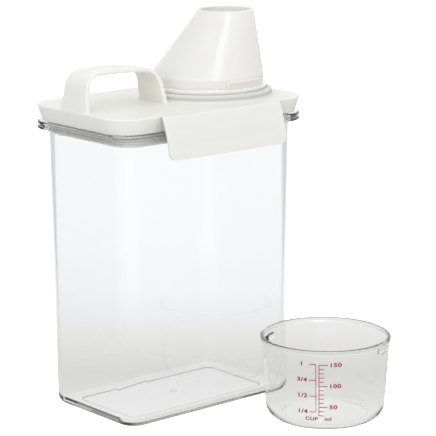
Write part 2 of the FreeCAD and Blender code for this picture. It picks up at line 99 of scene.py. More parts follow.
def new_mesh(name, bm, smooth_angle=35):
    bmesh.ops.recalc_face_normals(bm, faces=bm.faces)
    mesh = bpy.data.meshes.new(name)
    bm.to_mesh(mesh)
    bm.free()
    smooth_shade(mesh, smooth_angle)
    obj = bpy.data.objects.new(name, mesh)
    bpy.context.scene.collection.objects.link(obj)
    return obj


def applied(obj):
    """The object with its modifiers turned into mesh."""
    depsgraph = bpy.context.evaluated_depsgraph_get()
    mesh = bpy.data.meshes.new_from_object(obj.evaluated_get(depsgraph))
    obj.modifiers.clear()
    obj.data = mesh
    return obj


def outline(half_x, half_y, corner, z, steps=14):
    """A rounded rectangle as points, the same count for every size."""
    points = []
    for quarter, (sx, sy) in enumerate(((1, 1), (-1, 1), (-1, -1), (1, -1))):
        for step in range(steps + 1):
            angle = (quarter + step / steps) * math.pi / 2
            x = sx * (half_x - corner) + corner * math.cos(angle)
            y = sy * (half_y - corner) + corner * math.sin(angle)
            points.append(Vector((x, y, z)) * MM)
    return points


def circle(radius, z, x=0.0, y=0.0, count=160):
    points = []
    for step in range(count):
        angle = step * 2 * math.pi / count
        points.append(Vector((x + radius * math.cos(angle), y + radius * math.sin(angle), z)) * MM)
    return points


def soften(profile, radii, steps=7):
    """Rounds the corners of a profile of tuples by their radii. A tuple ends with its height."""
    result = []
    for index, point in enumerate(profile):
        radius = radii[index]
        if not radius:
            result.append(point)
            continue
        before, after = profile[index - 1], profile[index + 1]
        to_before = Vector((before[0] - point[0], before[-1] - point[-1]))
        to_after = Vector((after[0] - point[0], after[-1] - point[-1]))
        turn = math.pi - to_before.angle(to_after)
        reach = radius * math.tan(turn / 2)
        weight = math.cos(turn / 2)
        start = [p + (q - p) * reach / to_before.length for p, q in zip(point, before)]
        end = [p + (q - p) * reach / to_after.length for p, q in zip(point, after)]
        for step in range(steps + 1):
            t = step / steps
            a, b, c = (1 - t) ** 2, 2 * weight * t * (1 - t), t ** 2
            total = a + b + c
            result.append(tuple(
                (a * s + b * p + c * e) / total for s, p, e in zip(start, point, end)
            ))
    return result


def loft(name, rings, smooth_angle=35):
    """A skin over rings of points, closed at the first and the last."""
    bm = bmesh.new()
    rows = [[bm.verts.new(point) for point in ring] for ring in rings]
    for lower, upper in zip(rows, rows[1:]):
        count = len(lower)
        for i in range(count):
            j = (i + 1) % count
            bm.faces.new((lower[i], lower[j], upper[j], upper[i]))
    bm.faces.new(list(reversed(rows[0])))
    bm.faces.new(rows[-1])
    return new_mesh(name, bm, smooth_angle)


# ---------------------------------------------------------------- materials
CLEAR_IOR = 1.50
CLEAR_HAZE = 0.03
CLEAR_ABSORBED = (0.5, 0.5, 0.5, 1)
MOULDED_IOR = 1.48


def clear_plastic(name, tint, flow, absorption=0.0):
    """Clear moulded plastic: polished, with faint moulding flow in its bump and roughness."""
    material = bpy.data.materials.new(name)
    material.use_nodes = True
    tree = material.node_tree
    shader = tree.nodes["Principled BSDF"]
    shader.inputs["Base Color"].default_value = (*tint, 1)
    shader.inputs["Transmission Weight"].default_value = 1.0
    shader.inputs["IOR"].default_value = CLEAR_IOR
    place = tree.nodes.new("ShaderNodeTexCoord")
    stretch = tree.nodes.new("ShaderNodeMapping")
    stretch.inputs["Scale"].default_value = flow
    tree.links.new(place.outputs["Object"], stretch.inputs["Vector"])
    waves = tree.nodes.new("ShaderNodeTexNoise")
    waves.inputs["Scale"].default_value = 1.0
    waves.inputs["Detail"].default_value = 1.0
    tree.links.new(stretch.outputs["Vector"], waves.inputs["Vector"])
    bump = tree.nodes.new("ShaderNodeBump")
    bump.inputs["Strength"].default_value = 0.05
    bump.inputs["Distance"].default_value = 0.001
    tree.links.new(waves.outputs["Fac"], bump.inputs["Height"])
    tree.links.new(bump.outputs["Normal"], shader.inputs["Normal"])
    haze = tree.nodes.new("ShaderNodeMapRange")
    haze.inputs["To Min"].default_value = 0.0
    haze.inputs["To Max"].default_value = CLEAR_HAZE
    tree.links.new(waves.outputs["Fac"], haze.inputs["Value"])
    tree.links.new(haze.outputs["Result"], shader.inputs["Roughness"])
    if absorption:
        body = tree.nodes.new("ShaderNodeVolumeAbsorption")
        body.inputs["Color"].default_value = CLEAR_ABSORBED
        body.inputs["Density"].default_value = absorption
        tree.links.new(body.outputs["Volume"], tree.nodes["Material Output"].inputs["Volume"])
    return material


def moulded(
    name, colour, shade, rough, grain_scale, grain_depth, coat=0.0, scatter=0.0, scatter_depth=0.003,
):
    """Opaque moulded plastic or rubber: fine grain, uneven gloss and a faint change of colour."""
    material = bpy.data.materials.new(name)
    material.use_nodes = True
    tree = material.node_tree
    shader = tree.nodes["Principled BSDF"]
    shader.inputs["IOR"].default_value = MOULDED_IOR
    if coat:
        shader.inputs["Coat Weight"].default_value = coat
        shader.inputs["Coat Roughness"].default_value = 0.12
    if scatter:
        shader.inputs["Subsurface Weight"].default_value = scatter
        shader.inputs["Subsurface Radius"].default_value = (1.0, 0.95, 0.85)
        shader.inputs["Subsurface Scale"].default_value = scatter_depth
    place = tree.nodes.new("ShaderNodeTexCoord")
    drift = tree.nodes.new("ShaderNodeTexNoise")
    drift.inputs["Scale"].default_value = 22.0
    drift.inputs["Detail"].default_value = 2.0
    tree.links.new(place.outputs["Object"], drift.inputs["Vector"])
    ramp = tree.nodes.new("ShaderNodeValToRGB")
    ramp.color_ramp.elements[0].position = 0.3
    ramp.color_ramp.elements[0].color = (*shade, 1)
    ramp.color_ramp.elements[1].position = 0.7
    ramp.color_ramp.elements[1].color = (*colour, 1)
    tree.links.new(drift.outputs["Fac"], ramp.inputs["Fac"])
    tree.links.new(ramp.outputs["Color"], shader.inputs["Base Color"])
    gloss = tree.nodes.new("ShaderNodeMapRange")
    gloss.inputs["To Min"].default_value = rough[0]
    gloss.inputs["To Max"].default_value = rough[1]
    tree.links.new(drift.outputs["Fac"], gloss.inputs["Value"])
    tree.links.new(gloss.outputs["Result"], shader.inputs["Roughness"])
    grain = tree.nodes.new("ShaderNodeTexNoise")
    grain.inputs["Scale"].default_value = grain_scale
    grain.inputs["Detail"].default_value = 3.0
    tree.links.new(place.outputs["Object"], grain.inputs["Vector"])
    bump = tree.nodes.new("ShaderNodeBump")
    bump.inputs["Strength"].default_value = grain_depth
    bump.inputs["Distance"].default_value = 0.0002
    tree.links.new(grain.outputs["Fac"], bump.inputs["Height"])
    tree.links.new(bump.outputs["Normal"], shader.inputs["Normal"])
    return material


def paint(obj, material):
    obj.data.materials.clear()
    obj.data.materials.append(material)


tub_clear = clear_plastic("tub_clear", tint=(0.985, 0.99, 0.995), flow=(30, 30, 6), absorption=4.0)
cup_clear = clear_plastic("cup_clear", tint=(0.98, 0.985, 0.985), flow=(40, 40, 20), absorption=8.0)
gate_frost = clear_plastic("gate_frost", tint=(0.62, 0.62, 0.62), flow=(900, 900, 900))
lid_white = moulded(
    "lid_white", colour=(0.86, 0.86, 0.82), shade=(0.845, 0.845, 0.805), rough=(0.36, 0.46),
    grain_scale=1800, grain_depth=0.12, scatter=0.3,
)
spout_white = moulded(
    "spout_white", colour=(0.90, 0.885, 0.835), shade=(0.89, 0.875, 0.825), rough=(0.10, 0.14),
    grain_scale=600, grain_depth=0.02, coat=0.4, scatter=0.7, scatter_depth=0.005,
)
seal_white = moulded(
    "seal_white", colour=(0.88, 0.88, 0.86), shade=(0.86, 0.86, 0.84), rough=(0.5, 0.62),
    grain_scale=1500, grain_depth=0.2,
)
seal_grey = moulded(
    "seal_grey", colour=(0.70, 0.71, 0.68), shade=(0.67, 0.68, 0.65), rough=(0.42, 0.55),
    grain_scale=1500, grain_depth=0.2,
)
print_red = moulded(
    "print_red", colour=(0.36, 0.014, 0.032), shade=(0.32, 0.011, 0.026), rough=(0.35, 0.5),
    grain_scale=2500, grain_depth=0.1,
)

# The CAD's own shapes that stay in view; the pieces below replace the others.
for node, material in (
    ("lid_panel", lid_white), ("spout_lock_ring", lid_white), ("spout", spout_white),
    ("lid_seal", seal_white), ("spout_seal", seal_grey),
):
    paint(nodes[node], material)


# ---------------------------------------------------------------- tub
def wall_ring(z, inset):
    """The tub's wall outline at a height, moved inwards."""
    rise = z / TUB_TOP
    half = [foot + (mouth - foot) * rise - inset for foot, mouth in zip(FOOT[:2], MOUTH[:2])]
    return (*half, FOOT[2] - inset, z)


def grown(outline_size, amount, z):
    """An outline moved outwards, or inwards by a negative amount."""
    return (*(size + amount for size in outline_size), z)


RECESS_ROUNDING = 0.35
GROOVE_LIP_ROUNDING = 0.85
GROOVE_ROOT_ROUNDING = 0.5
FLANGE_ROOT_ROUNDING = 0.5
MOUTH_ROUNDING = 0.4
FLANGE_FLAT = 2.0
WALL_HEIGHTS = (60, 120)


def make_tub():
    """The tub as one skin: under the foot, up the outside, round the flange and down the inside."""
    middle = (FLANGE_BOTTOM + TUB_TOP) / 2
    groove_low, groove_high = middle - GROOVE_HEIGHT / 2, middle + GROOVE_HEIGHT / 2
    low_wall, high_wall = WALL_HEIGHTS
    corners = [
        (grown(RECESS, -1.5, RECESS_DEPTH), 0),
        (grown(RECESS, 0, RECESS_DEPTH), RECESS_ROUNDING),
        (grown(RECESS, 0, 0), RECESS_ROUNDING),
        (grown(FOOT, -FOOT_ROUNDING - 1, 0), 0),
        (grown(FOOT, 0, 0), FOOT_ROUNDING),
        (wall_ring(low_wall, 0), 0),
        (wall_ring(high_wall, 0), 0),
        (wall_ring(FLANGE_BOTTOM, 0), FLANGE_ROOT_ROUNDING),
        (grown(FLANGE, -FLANGE_FLAT, FLANGE_BOTTOM), 0),
        (grown(FLANGE, 0, FLANGE_BOTTOM), FLANGE_ROUNDING),
        (grown(FLANGE, 0, groove_low), GROOVE_LIP_ROUNDING),
        (grown(FLANGE, -GROOVE_DEPTH, groove_low), GROOVE_ROOT_ROUNDING),
        (grown(FLANGE, -GROOVE_DEPTH, groove_high), GROOVE_ROOT_ROUNDING),
        (grown(FLANGE, 0, groove_high), GROOVE_LIP_ROUNDING),
        (grown(FLANGE, 0, TUB_TOP), FLANGE_ROUNDING),
        (grown(FLANGE, -FLANGE_FLAT, TUB_TOP), 0),
        (wall_ring(TUB_TOP, TUB_WALL), MOUTH_ROUNDING),
        (wall_ring(high_wall, TUB_WALL), 0),
        (wall_ring(low_wall, TUB_WALL), 0),
        (wall_ring(TUB_FLOOR, TUB_WALL), FLOOR_ROUNDING),
        (wall_ring(TUB_FLOOR, TUB_WALL + FLOOR_ROUNDING + 0.8), 0),
    ]
    profile = soften([ring for ring, radius in corners], [radius for ring, radius in corners])
    return loft("tub", [outline(*ring) for ring in profile], smooth_angle=50)


tub = make_tub()
paint(tub, tub_clear)
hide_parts("container_body")
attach(tub, "container")


# ---------------------------------------------------------------- measuring cup
CUP_INNER_FLAT = 24.0
CUP_FOOT_EDGE = 0.2
RIM_ROOT_ROUNDING = 0.3
RIM_LOW_ROUNDING = 0.25
RIM_OUTER_ROUNDING = 0.6
RIM_INNER_ROUNDING = 0.4
LUG_EDGE = 0.35


def cup_radius(z):
    """The radius of the cup's outside at a height."""
    return CUP_BASE_RADIUS + (CUP_RADIUS - CUP_BASE_RADIUS) * z / CUP_HEIGHT


def make_cup():
    """The cup as one skin: under the foot, up the outside, over the rim and down the inside."""
    rim_bottom = CUP_HEIGHT - CUP_RIM_HEIGHT
    corners = [
        ((CUP_INNER_FLAT, CUP_FOOT_RECESS), 0),
        ((CUP_FOOT_RADIUS, CUP_FOOT_RECESS), CUP_FOOT_EDGE),
        ((CUP_FOOT_RADIUS, 0), CUP_FOOT_EDGE),
        ((CUP_BASE_RADIUS, 0), CUP_ROUNDING),
        ((cup_radius(rim_bottom), rim_bottom), RIM_ROOT_ROUNDING),
        ((CUP_RIM_RADIUS, rim_bottom), RIM_LOW_ROUNDING),
        ((CUP_RIM_RADIUS, CUP_HEIGHT), RIM_OUTER_ROUNDING),
        ((CUP_RADIUS - CUP_WALL, CUP_HEIGHT), RIM_INNER_ROUNDING),
        ((CUP_BASE_RADIUS - CUP_WALL, CUP_FLOOR), CUP_FLOOR_ROUNDING),
        ((CUP_INNER_FLAT, CUP_FLOOR), 0),
    ]
    profile = soften([ring for ring, radius in corners], [radius for ring, radius in corners], 8)
    rings = [circle(radius, z, *CUP_CENTRE) for radius, z in profile]
    return loft("cup", rings, smooth_angle=50)


cup = make_cup()
paint(cup, cup_clear)
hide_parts("measuring_cup")
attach(cup, "measuring_cup")


def sector(outer, inner, bottom, top, start, sweep, x, y, steps=10):
    """The sections of a piece of an upright tube, from start through sweep in degrees."""
    sections = []
    for step in range(steps + 1):
        angle = math.radians(start + sweep * step / steps)
        ring = []
        for radius, z in ((inner, bottom), (outer, bottom), (outer, top), (inner, top)):
            ring.append(Vector((x + radius * math.cos(angle), y + radius * math.sin(angle), z)) * MM)
        sections.append(ring)
    return sections


def join_cup_lugs():
    """The two lugs inside the rim that pass under the collar's cams, fused into the cup."""
    inner = CUP_RADIUS - CUP_WALL - CUP_LUG_DEPTH
    for turn in range(CUP_LUG_COUNT):
        start = CUP_LUG_START + 360 // CUP_LUG_COUNT * turn
        lug = loft("lug_%d" % turn, sector(
            CUP_RADIUS - CUP_WALL / 2, inner, CUP_LUG_BOTTOM, CUP_LUG_TOP,
            start, CUP_LUG_SWEEP, *CUP_CENTRE,
        ))
        bevel = lug.modifiers.new("bevel", "BEVEL")
        bevel.width = LUG_EDGE * MM
        bevel.segments = 2
        applied(lug)
        fuse = cup.modifiers.new("fuse", "BOOLEAN")
        fuse.operation = "UNION"
        fuse.solver = "EXACT"
        fuse.object = lug
        applied(cup)
        bpy.data.objects.remove(lug)
    smooth_shade(cup.data, 50)


join_cup_lugs()


# ---------------------------------------------------------------- the cup's printed scale
# Heights are up the cup from its foot. Turns are in degrees round the cup, to the reader's right
# from PRINT_FRONT, which is itself measured from +X.
PRINT_FRONT = 226.37
INK_LIFT = 0.03
INK_DEPTH = 0.10
BAR_HALF = 0.22
MARK_30 = 10.43
MARK_STEP = 2.582
MARKS_UPRIGHT = (-5.75, -5.05)
MARK_START = -5.4
SHORT_MARK_END = -0.95
LONG_MARK_END = 2.5
QUARTER_START = 12.6
QUARTER_STEP = 9.7
QUARTERS_UPRIGHT = (-8.55, -7.95)
QUARTERS_BOTTOM = 12.5
QUARTER_MARK = (-14.4, -8.2)
QUARTER_LABEL_TURN = -21.2
NUMBER_TURNS = ((150, 9.2), (100, 9.2), (50, 7.9))
NUMBER_SIZE = 3.3
UNITS_HEIGHT = 8.4
CUP_WORD_TURN = -12.4
CUP_WORD_SIZE = 2.7
ML_WORD_TURN = 3.2
ML_WORD_SIZE = 2.9
TEXT_STRETCH = 1.35
TEXT_SPACING = 1.12
TEXT_WEIGHT = 0.035


def on_cup(turn, z, lift):
    """A point on the cup's outside, or lifted off it."""
    angle = math.radians(PRINT_FRONT + turn)
    radius = cup_radius(z) + lift
    x, y = CUP_CENTRE
    return Vector((x + radius * math.cos(angle), y + radius * math.sin(angle), z)) * MM


def ink_bar(turn_from, turn_to, z_from, z_to, steps=6):
    """A thin printed bar that follows the cup's wall."""
    sections = []
    for step in range(steps + 1):
        turn = turn_from + (turn_to - turn_from) * step / steps
        sections.append([
            on_cup(turn, z_from, INK_LIFT), on_cup(turn, z_from, INK_LIFT + INK_DEPTH),
            on_cup(turn, z_to, INK_LIFT + INK_DEPTH), on_cup(turn, z_to, INK_LIFT),
        ])
    return loft("ink", sections)


def ink_text(words, turn, z, height):
    """Generic numbers and units, wrapped round the cup with the middle of the line at z."""
    curve = bpy.data.curves.new("ink", "FONT")
    curve.body = words
    curve.size = 1.0
    curve.align_x = "CENTER"
    curve.align_y = "CENTER"
    curve.offset = TEXT_WEIGHT
    curve.space_character = TEXT_SPACING
    curve.extrude = 0.5
    flat = bpy.data.objects.new("ink", curve)
    bpy.context.scene.collection.objects.link(flat)
    bpy.context.view_layer.update()
    mesh = bpy.data.meshes.new_from_object(flat.evaluated_get(bpy.context.evaluated_depsgraph_get()))
    bpy.data.objects.remove(flat)
    around = math.degrees(1 / cup_radius(z))
    for vertex in mesh.vertices:
        across, up, depth = vertex.co
        lift = INK_LIFT + (depth + 0.5) * INK_DEPTH
        vertex.co = on_cup(turn + across * height * TEXT_STRETCH * around, z + up * height, lift)
    obj = bpy.data.objects.new("ink", mesh)
    bpy.context.scene.collection.objects.link(obj)
    return obj


def joined(name, objects):
    """One object from several, which are removed."""
    bm = bmesh.new()
    for obj in objects:
        bm.from_mesh(obj.data)
    mesh = bpy.data.meshes.new(name)
    bm.to_mesh(mesh)
    bm.free()
    for obj in objects:
        bpy.data.objects.remove(obj)
    result = bpy.data.objects.new(name, mesh)
    bpy.context.scene.collection.objects.link(result)
    return result


def mark_height(millilitres):
    return MARK_30 + (millilitres - 30) / 10 * MARK_STEP


def quarter_height(quarter):
    return QUARTER_START + (quarter - 1) * QUARTER_STEP


def make_scale():
    """Two uprights, with millilitre marks to the right and quarters of a cup to the left."""
    top = mark_height(150) + BAR_HALF
    bars = [
        ink_bar(*MARKS_UPRIGHT, mark_height(30) - BAR_HALF, top),
        ink_bar(*QUARTERS_UPRIGHT, QUARTERS_BOTTOM, top),
    ]
    for millilitres in range(30, 160, 10):
        z = mark_height(millilitres)
        right = LONG_MARK_END if millilitres % 50 == 0 else SHORT_MARK_END
        bars.append(ink_bar(MARK_START, right, z - BAR_HALF, z + BAR_HALF))
    for quarter in range(1, 5):
        z = quarter_height(quarter)
        bars.append(ink_bar(*QUARTER_MARK, z - BAR_HALF, z + BAR_HALF))
    return joined("cup_scale_bars", bars)


def make_numbers():
    """Generic numbers beside the long marks, with the two units under them."""
    words = []
    for millilitres, turn in NUMBER_TURNS:
        words.append(ink_text(str(millilitres), turn, mark_height(millilitres), NUMBER_SIZE))
    for label, quarter in (("1/4", 1), ("1/2", 2), ("3/4", 3), ("1", 4)):
        words.append(ink_text(label, QUARTER_LABEL_TURN, quarter_height(quarter), NUMBER_SIZE))
    words.append(ink_text("CUP", CUP_WORD_TURN, UNITS_HEIGHT, CUP_WORD_SIZE))
    words.append(ink_text("ml", ML_WORD_TURN, UNITS_HEIGHT, ML_WORD_SIZE))
    return joined("cup_scale_numbers", words)


for printed in (make_scale(), make_numbers()):
    paint(printed, print_red)
    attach(printed, "measuring_cup")


# ---------------------------------------------------------------- latches and hinge films
def arc_through(first, middle, last, count):
    """Points on the arc through three (y, z) points."""
    (ax, ay), (bx, by), (cx, cy) = first, middle, last
    d = 2 * (ax * (by - cy) + bx * (cy - ay) + cx * (ay - by))
    aa, bb, cc = ax * ax + ay * ay, bx * bx + by * by, cx * cx + cy * cy
    ux = (aa * (by - cy) + bb * (cy - ay) + cc * (ay - by)) / d
    uy = (aa * (cx - bx) + bb * (ax - cx) + cc * (bx - ax)) / d
    radius = math.hypot(ax - ux, ay - uy)
    start, end = math.atan2(ay - uy, ax - ux), math.atan2(cy - uy, cx - ux)
    sweep = (end - start + math.pi) % (2 * math.pi) - math.pi
    points = []
    for step in range(count + 1):
        angle = start + sweep * step / count
        points.append((ux + radius * math.cos(angle), uy + radius * math.sin(angle)))
    return points


class Line:
    """A polyline that can be read by the share of its length."""

    def __init__(self, points):
        self.points = [Vector(point) for point in points]
        self.at = [0.0]
        for a, b in zip(self.points, self.points[1:]):
            self.at.append(self.at[-1] + (b - a).length)
        self.length = self.at[-1]

    def read(self, share):
        distance = min(max(share, 0.0), 1.0) * self.length
        for index in range(1, len(self.at)):
            if distance <= self.at[index] or index == len(self.at) - 1:
                gap = self.at[index] - self.at[index - 1]
                return self.points[index - 1].lerp(
                    self.points[index], (distance - self.at[index - 1]) / gap
                )


# Places across the flap are (y, z), with y outwards from the middle of the lid.
FLAP_ROOT = (47.35, LID_TOP)
FLAP_OUTER = ((48.6, LID_TOP), (52.0, 175.0), (55.3, 159.2))
FLAP_INNER = ((47.35, LID_TOP - 1.6), (50.2, 175.0), (53.5, 159.2))
FLAP_SHOULDER_ROUNDING = 1.5
FLAP_EDGE = 0.45
CREASES = (0.36, 0.55, 0.72)
CREASE_DEPTH = 0.045
CREASE_WIDTH = 0.035
HOOK_END_INSET = 7.0
HOOK_SHELF = ((44.4, 168.9), (44.4, 167.1), (52.6, 168.9), (53.0, 167.1))
HOOK_WEB = ((46.2, 167.3), (53.0, 167.3), (53.9, 162.1), (53.4, 162.1))
WEB_COUNT = 4
WEB_THICKNESS = 1.4


def flap_lines():
    """The flap's outer and inner faces, from its root at the fold to its lower edge."""
    profile = [FLAP_ROOT] + arc_through(*FLAP_OUTER, 14)
    outer = soften(profile, [0, FLAP_SHOULDER_ROUNDING] + [0] * (len(profile) - 2), 6)
    return Line(outer), Line(arc_through(*FLAP_INNER, 18))


def flap_blank(length):
    """The flat flap in mm: a slab with two rounded lower corners and softened edges all round."""
    rows = []
    straight = length - LATCH_CORNER
    straight_steps, corner_steps = 18, 8
    for step in range(straight_steps + 1):
        rows.append((straight * step / straight_steps, LATCH_HALF))
    for step in range(1, corner_steps + 1):
        angle = step / corner_steps * math.pi / 2
        rows.append((
            straight + LATCH_CORNER * math.sin(angle),
            LATCH_HALF - LATCH_CORNER + LATCH_CORNER * math.cos(angle),
        ))
    columns = 40
    bm = bmesh.new()
    sheets = []
    for depth in (0.0, LATCH_THICKNESS):
        sheet = []
        for along, half in rows:
            sheet.append([
                bm.verts.new((half * (2 * c / columns - 1), along, depth)) for c in range(columns + 1)
            ])
        sheets.append(sheet)
        for a, b in zip(sheet, sheet[1:]):
            for c in range(columns):
                bm.faces.new((a[c], a[c + 1], b[c + 1], b[c]))
    top, low = sheets
    rim = [(r, 0) for r in range(len(rows))] + [(len(rows) - 1, c) for c in range(1, columns + 1)]
    rim += [(r, columns) for r in range(len(rows) - 2, -1, -1)]
    rim += [(0, c) for c in range(columns - 1, 0, -1)]
    for here, there in zip(rim, rim[1:] + rim[:1]):
        a, b = top[here[0]][here[1]], top[there[0]][there[1]]
        c, d = low[there[0]][there[1]], low[here[0]][here[1]]
        bm.faces.new((a, b, c, d))
    blank = new_mesh("blank", bm)
    bevel = blank.modifiers.new("bevel", "BEVEL")
    bevel.width = FLAP_EDGE
    bevel.segments = 3
    bevel.limit_method = "ANGLE"
    bevel.angle_limit = math.radians(50)
    return applied(blank)


def bar(name, corners, radius):
    """A convex bar from eight corners in mm, with softened edges."""
    bm = bmesh.new()
    verts = [bm.verts.new(Vector(corner) * MM) for corner in corners]
    bmesh.ops.convex_hull(bm, input=verts)
    bmesh.ops.dissolve_limit(bm, angle_limit=0.01, verts=bm.verts, edges=bm.edges)
    obj = new_mesh(name, bm)
    bevel = obj.modifiers.new("bevel", "BEVEL")
    bevel.width = radius * MM
    bevel.segments = 2
    return applied(obj)


def make_latch(name, side):
    """A flap with its hook shelf and webs; side is -1 in front and 1 at the back."""
    outer, inner = flap_lines()
    flap = flap_blank(outer.length)
    for vertex in flap.data.vertices:
        across, along, depth = vertex.co
        share = along / outer.length
        inward = depth / LATCH_THICKNESS
        sink = 0.0
        for crease in CREASES:
            sink += CREASE_DEPTH * math.exp(-(((share - crease) / CREASE_WIDTH) ** 2))
        place = outer.read(share).lerp(inner.read(share), inward)
        vertex.co = Vector((across, side * (place[0] - sink * (1 - inward)), place[1])) * MM
    half = LATCH_HALF - HOOK_END_INSET
    shelf = [(x, side * y, z) for x in (-half, half) for y, z in HOOK_SHELF]
    parts = [flap, bar("shelf", shelf, radius=0.4)]
    for web in range(WEB_COUNT):
        x = -half + web * (2 * half - WEB_THICKNESS) / (WEB_COUNT - 1)
        wedge = [(end, side * y, z) for end in (x, x + WEB_THICKNESS) for y, z in HOOK_WEB]
        parts.append(bar("web", wedge, radius=0.2))
    latch = joined(name, parts)
    bm = bmesh.new()
    bm.from_mesh(latch.data)
    bmesh.ops.recalc_face_normals(bm, faces=bm.faces)
    bm.to_mesh(latch.data)
    bm.free()
    smooth_shade(latch.data, 50)
    return latch


FILM_START = 45.75
FILM_END = 47.75
FILM_WAIST = 0.10
FILM_DROP = 0.30
FILM_SINK = 0.08


def make_film(name, side):
    """The thinned line of the living hinge, from the lid's edge to the flap's root."""
    sections = []
    steps = 14
    for step in range(steps + 1):
        y = side * (FILM_START + (FILM_END - FILM_START) * step / steps)
        waist = FILM_WAIST * math.sin(math.pi * step / steps)
        low, high = HINGE_Z - FILM_DROP + waist, LID_TOP - FILM_SINK - waist
        sections.append([
            Vector((-LATCH_HALF, y, low)) * MM, Vector((LATCH_HALF, y, low)) * MM,
            Vector((LATCH_HALF, y, high)) * MM, Vector((-LATCH_HALF, y, high)) * MM,
        ])
    return loft(name, sections, smooth_angle=60)


for side, body in ((-1, "front"), (1, "back")):
    latch = make_latch(body + "_flap", side)
    paint(latch, lid_white)
    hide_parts(body + "_latch")
    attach(latch, body + "_latch")
    film = make_film(body + "_fold", side)
    paint(film, lid_white)
    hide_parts(body + "_hinge_film")
    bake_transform(film)


# ---------------------------------------------------------------- strap handle
# Pairs are (left, right); leans are in degrees from upright.
HANDLE_FEET = (-71.2, -10.9)
HANDLE_TOPS = (206.9, 205.6)
HANDLE_LEANS = (6.0, 11.5)
HANDLE_HALF_TOP = 10.25
HANDLE_HALF_FOOT = 12.4
HANDLE_TAPER = 1.4
HANDLE_OUTER_BENDS = (10.5, 14.0)
HANDLE_INNER_BENDS = (6.5, 10.0)
HANDLE_LEG = 3.0
HANDLE_GRIP = 2.6
HANDLE_EDGE = 1.0
HANDLE_ARCH = 0.5
HANDLE_SINK = 0.3
FOOT_FLARE = 0.8
FOOT_FLARE_HEIGHT = 1.4
TANG_HALF = 8.0
TANG_THICKNESS = 1.5
TANG_HOOK = 0.9
LID_PLATE = 2.0


def arch_points(leg_inset, grip_inset, bends):
    """The handle's outline from the side as (x, z), from foot to foot, inset by the strap's depth."""
    legs = []
    for foot, top, lean, inwards in zip(HANDLE_FEET, HANDLE_TOPS, HANDLE_LEANS, (1, -1)):
        angle = math.radians(lean)
        x = foot + inwards * leg_inset / math.cos(angle)
        rise = top - grip_inset - LID_TOP
        low = (x - inwards * math.tan(angle) * HANDLE_SINK, LID_TOP - HANDLE_SINK)
        legs.append((low, (x + inwards * math.tan(angle) * rise, LID_TOP + rise)))
    (left_foot, left_top), (right_foot, right_top) = legs
    bend_steps, leg_steps, grip_steps = 14, 40, 16
    rounded = soften([left_foot, left_top, right_top, right_foot], [0, *bends, 0], bend_steps)
    runs = {0: leg_steps, bend_steps + 1: grip_steps, 2 * bend_steps + 2: leg_steps}
    points = []
    for index, (a, b) in enumerate(zip(rounded, rounded[1:])):
        steps = runs.get(index, 1)
        for step in range(steps):
            points.append([p + (q - p) * step / steps for p, q in zip(a, b)])
    points.append(list(rounded[-1]))
    for point in points:
        share = (point[0] - left_top[0]) / (right_top[0] - left_top[0])
        point[1] += HANDLE_ARCH * math.sin(math.pi * min(max(share, 0), 1)) ** 2
    return points


def strap_section(outer, inner, half, flare):
    """One section across the strap, with rounded edges; flare widens it all round."""
    outer, inner = Vector(outer), Vector(inner)
    depth = (inner - outer).length
    inwards = (inner - outer) / depth
    ring = []
    for quarter, (across, deep) in enumerate(((1, 1), (-1, 1), (-1, -1), (1, -1))):
        for step in range(6):
            angle = (quarter + step / 5) * math.pi / 2
            y = across * (half + flare - HANDLE_EDGE) + HANDLE_EDGE * math.cos(angle)
            reach = deep * (depth / 2 + flare - HANDLE_EDGE) + HANDLE_EDGE * math.sin(angle)
            x, z = outer + inwards * (depth / 2 + reach)
            ring.append(Vector((x, y, z)) * MM)
    return ring


def make_handle():
    """The strap, with a hooked tang under each foot that goes through the lid."""
    outer = arch_points(0, 0, HANDLE_OUTER_BENDS)
    inner = arch_points(HANDLE_LEG, HANDLE_GRIP, HANDLE_INNER_BENDS)
    sections = []
    for outside, inside in zip(outer, inner):
        height = (outside[1] + inside[1]) / 2 - LID_TOP
        share = min(max(height / (HANDLE_TOPS[1] - LID_TOP), 0), 1)
        half = HANDLE_HALF_TOP + (HANDLE_HALF_FOOT - HANDLE_HALF_TOP) * (1 - share) ** HANDLE_TAPER
        near_lid = min(max(1 - height / FOOT_FLARE_HEIGHT, 0), 1)
        sections.append(strap_section(outside, inside, half, FOOT_FLARE * near_lid ** 2))
    parts = [loft("strap", sections, smooth_angle=60)]
    for foot, lean, inwards in zip(HANDLE_FEET, HANDLE_LEANS, (1, -1)):
        flush = foot + inwards * HANDLE_LEG / math.cos(math.radians(lean))
        back = flush - inwards * TANG_THICKNESS
        plate_bottom = LID_TOP - LID_PLATE
        tang_bottom = plate_bottom - TANG_THICKNESS
        for far, top in (
            (flush, LID_TOP - HANDLE_SINK / 2),
            (flush + inwards * TANG_HOOK, plate_bottom),
        ):
            corners = product((back, far), (-TANG_HALF, TANG_HALF), (tang_bottom, top))
            parts.append(bar("tang", corners, radius=0.1))
    return joined("handle", parts)


handle = make_handle()
smooth_shade(handle.data, 60)
paint(handle, lid_white)
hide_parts("carry_handle")
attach(handle, "lid")


# ---------------------------------------------------------------- gate mark under the tub
GATE_PROFILE = ((0.5, 0.45), (2.0, 0.5), (2.3, 0.7), (2.3, 0.98), (0.5, 0.98))


def make_gate():
    """The trimmed stub where the plastic entered, in the middle of the recess."""
    return loft("gate_mark", [circle(radius, z, count=48) for radius, z in GATE_PROFILE])


gate = make_gate()
paint(gate, gate_frost)
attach(gate, "container")


# ---------------------------------------------------------------- stage
STAGE_HALF = 8.0
TABLE_DROP = 0.0002


def plain_plane(name, z):
    bm = bmesh.new()
    bmesh.ops.create_grid(bm, x_segments=1, y_segments=1, size=STAGE_HALF)
    bmesh.ops.translate(bm, verts=bm.verts, vec=(0, 0, z))
    obj = new_mesh(name, bm)
    return obj


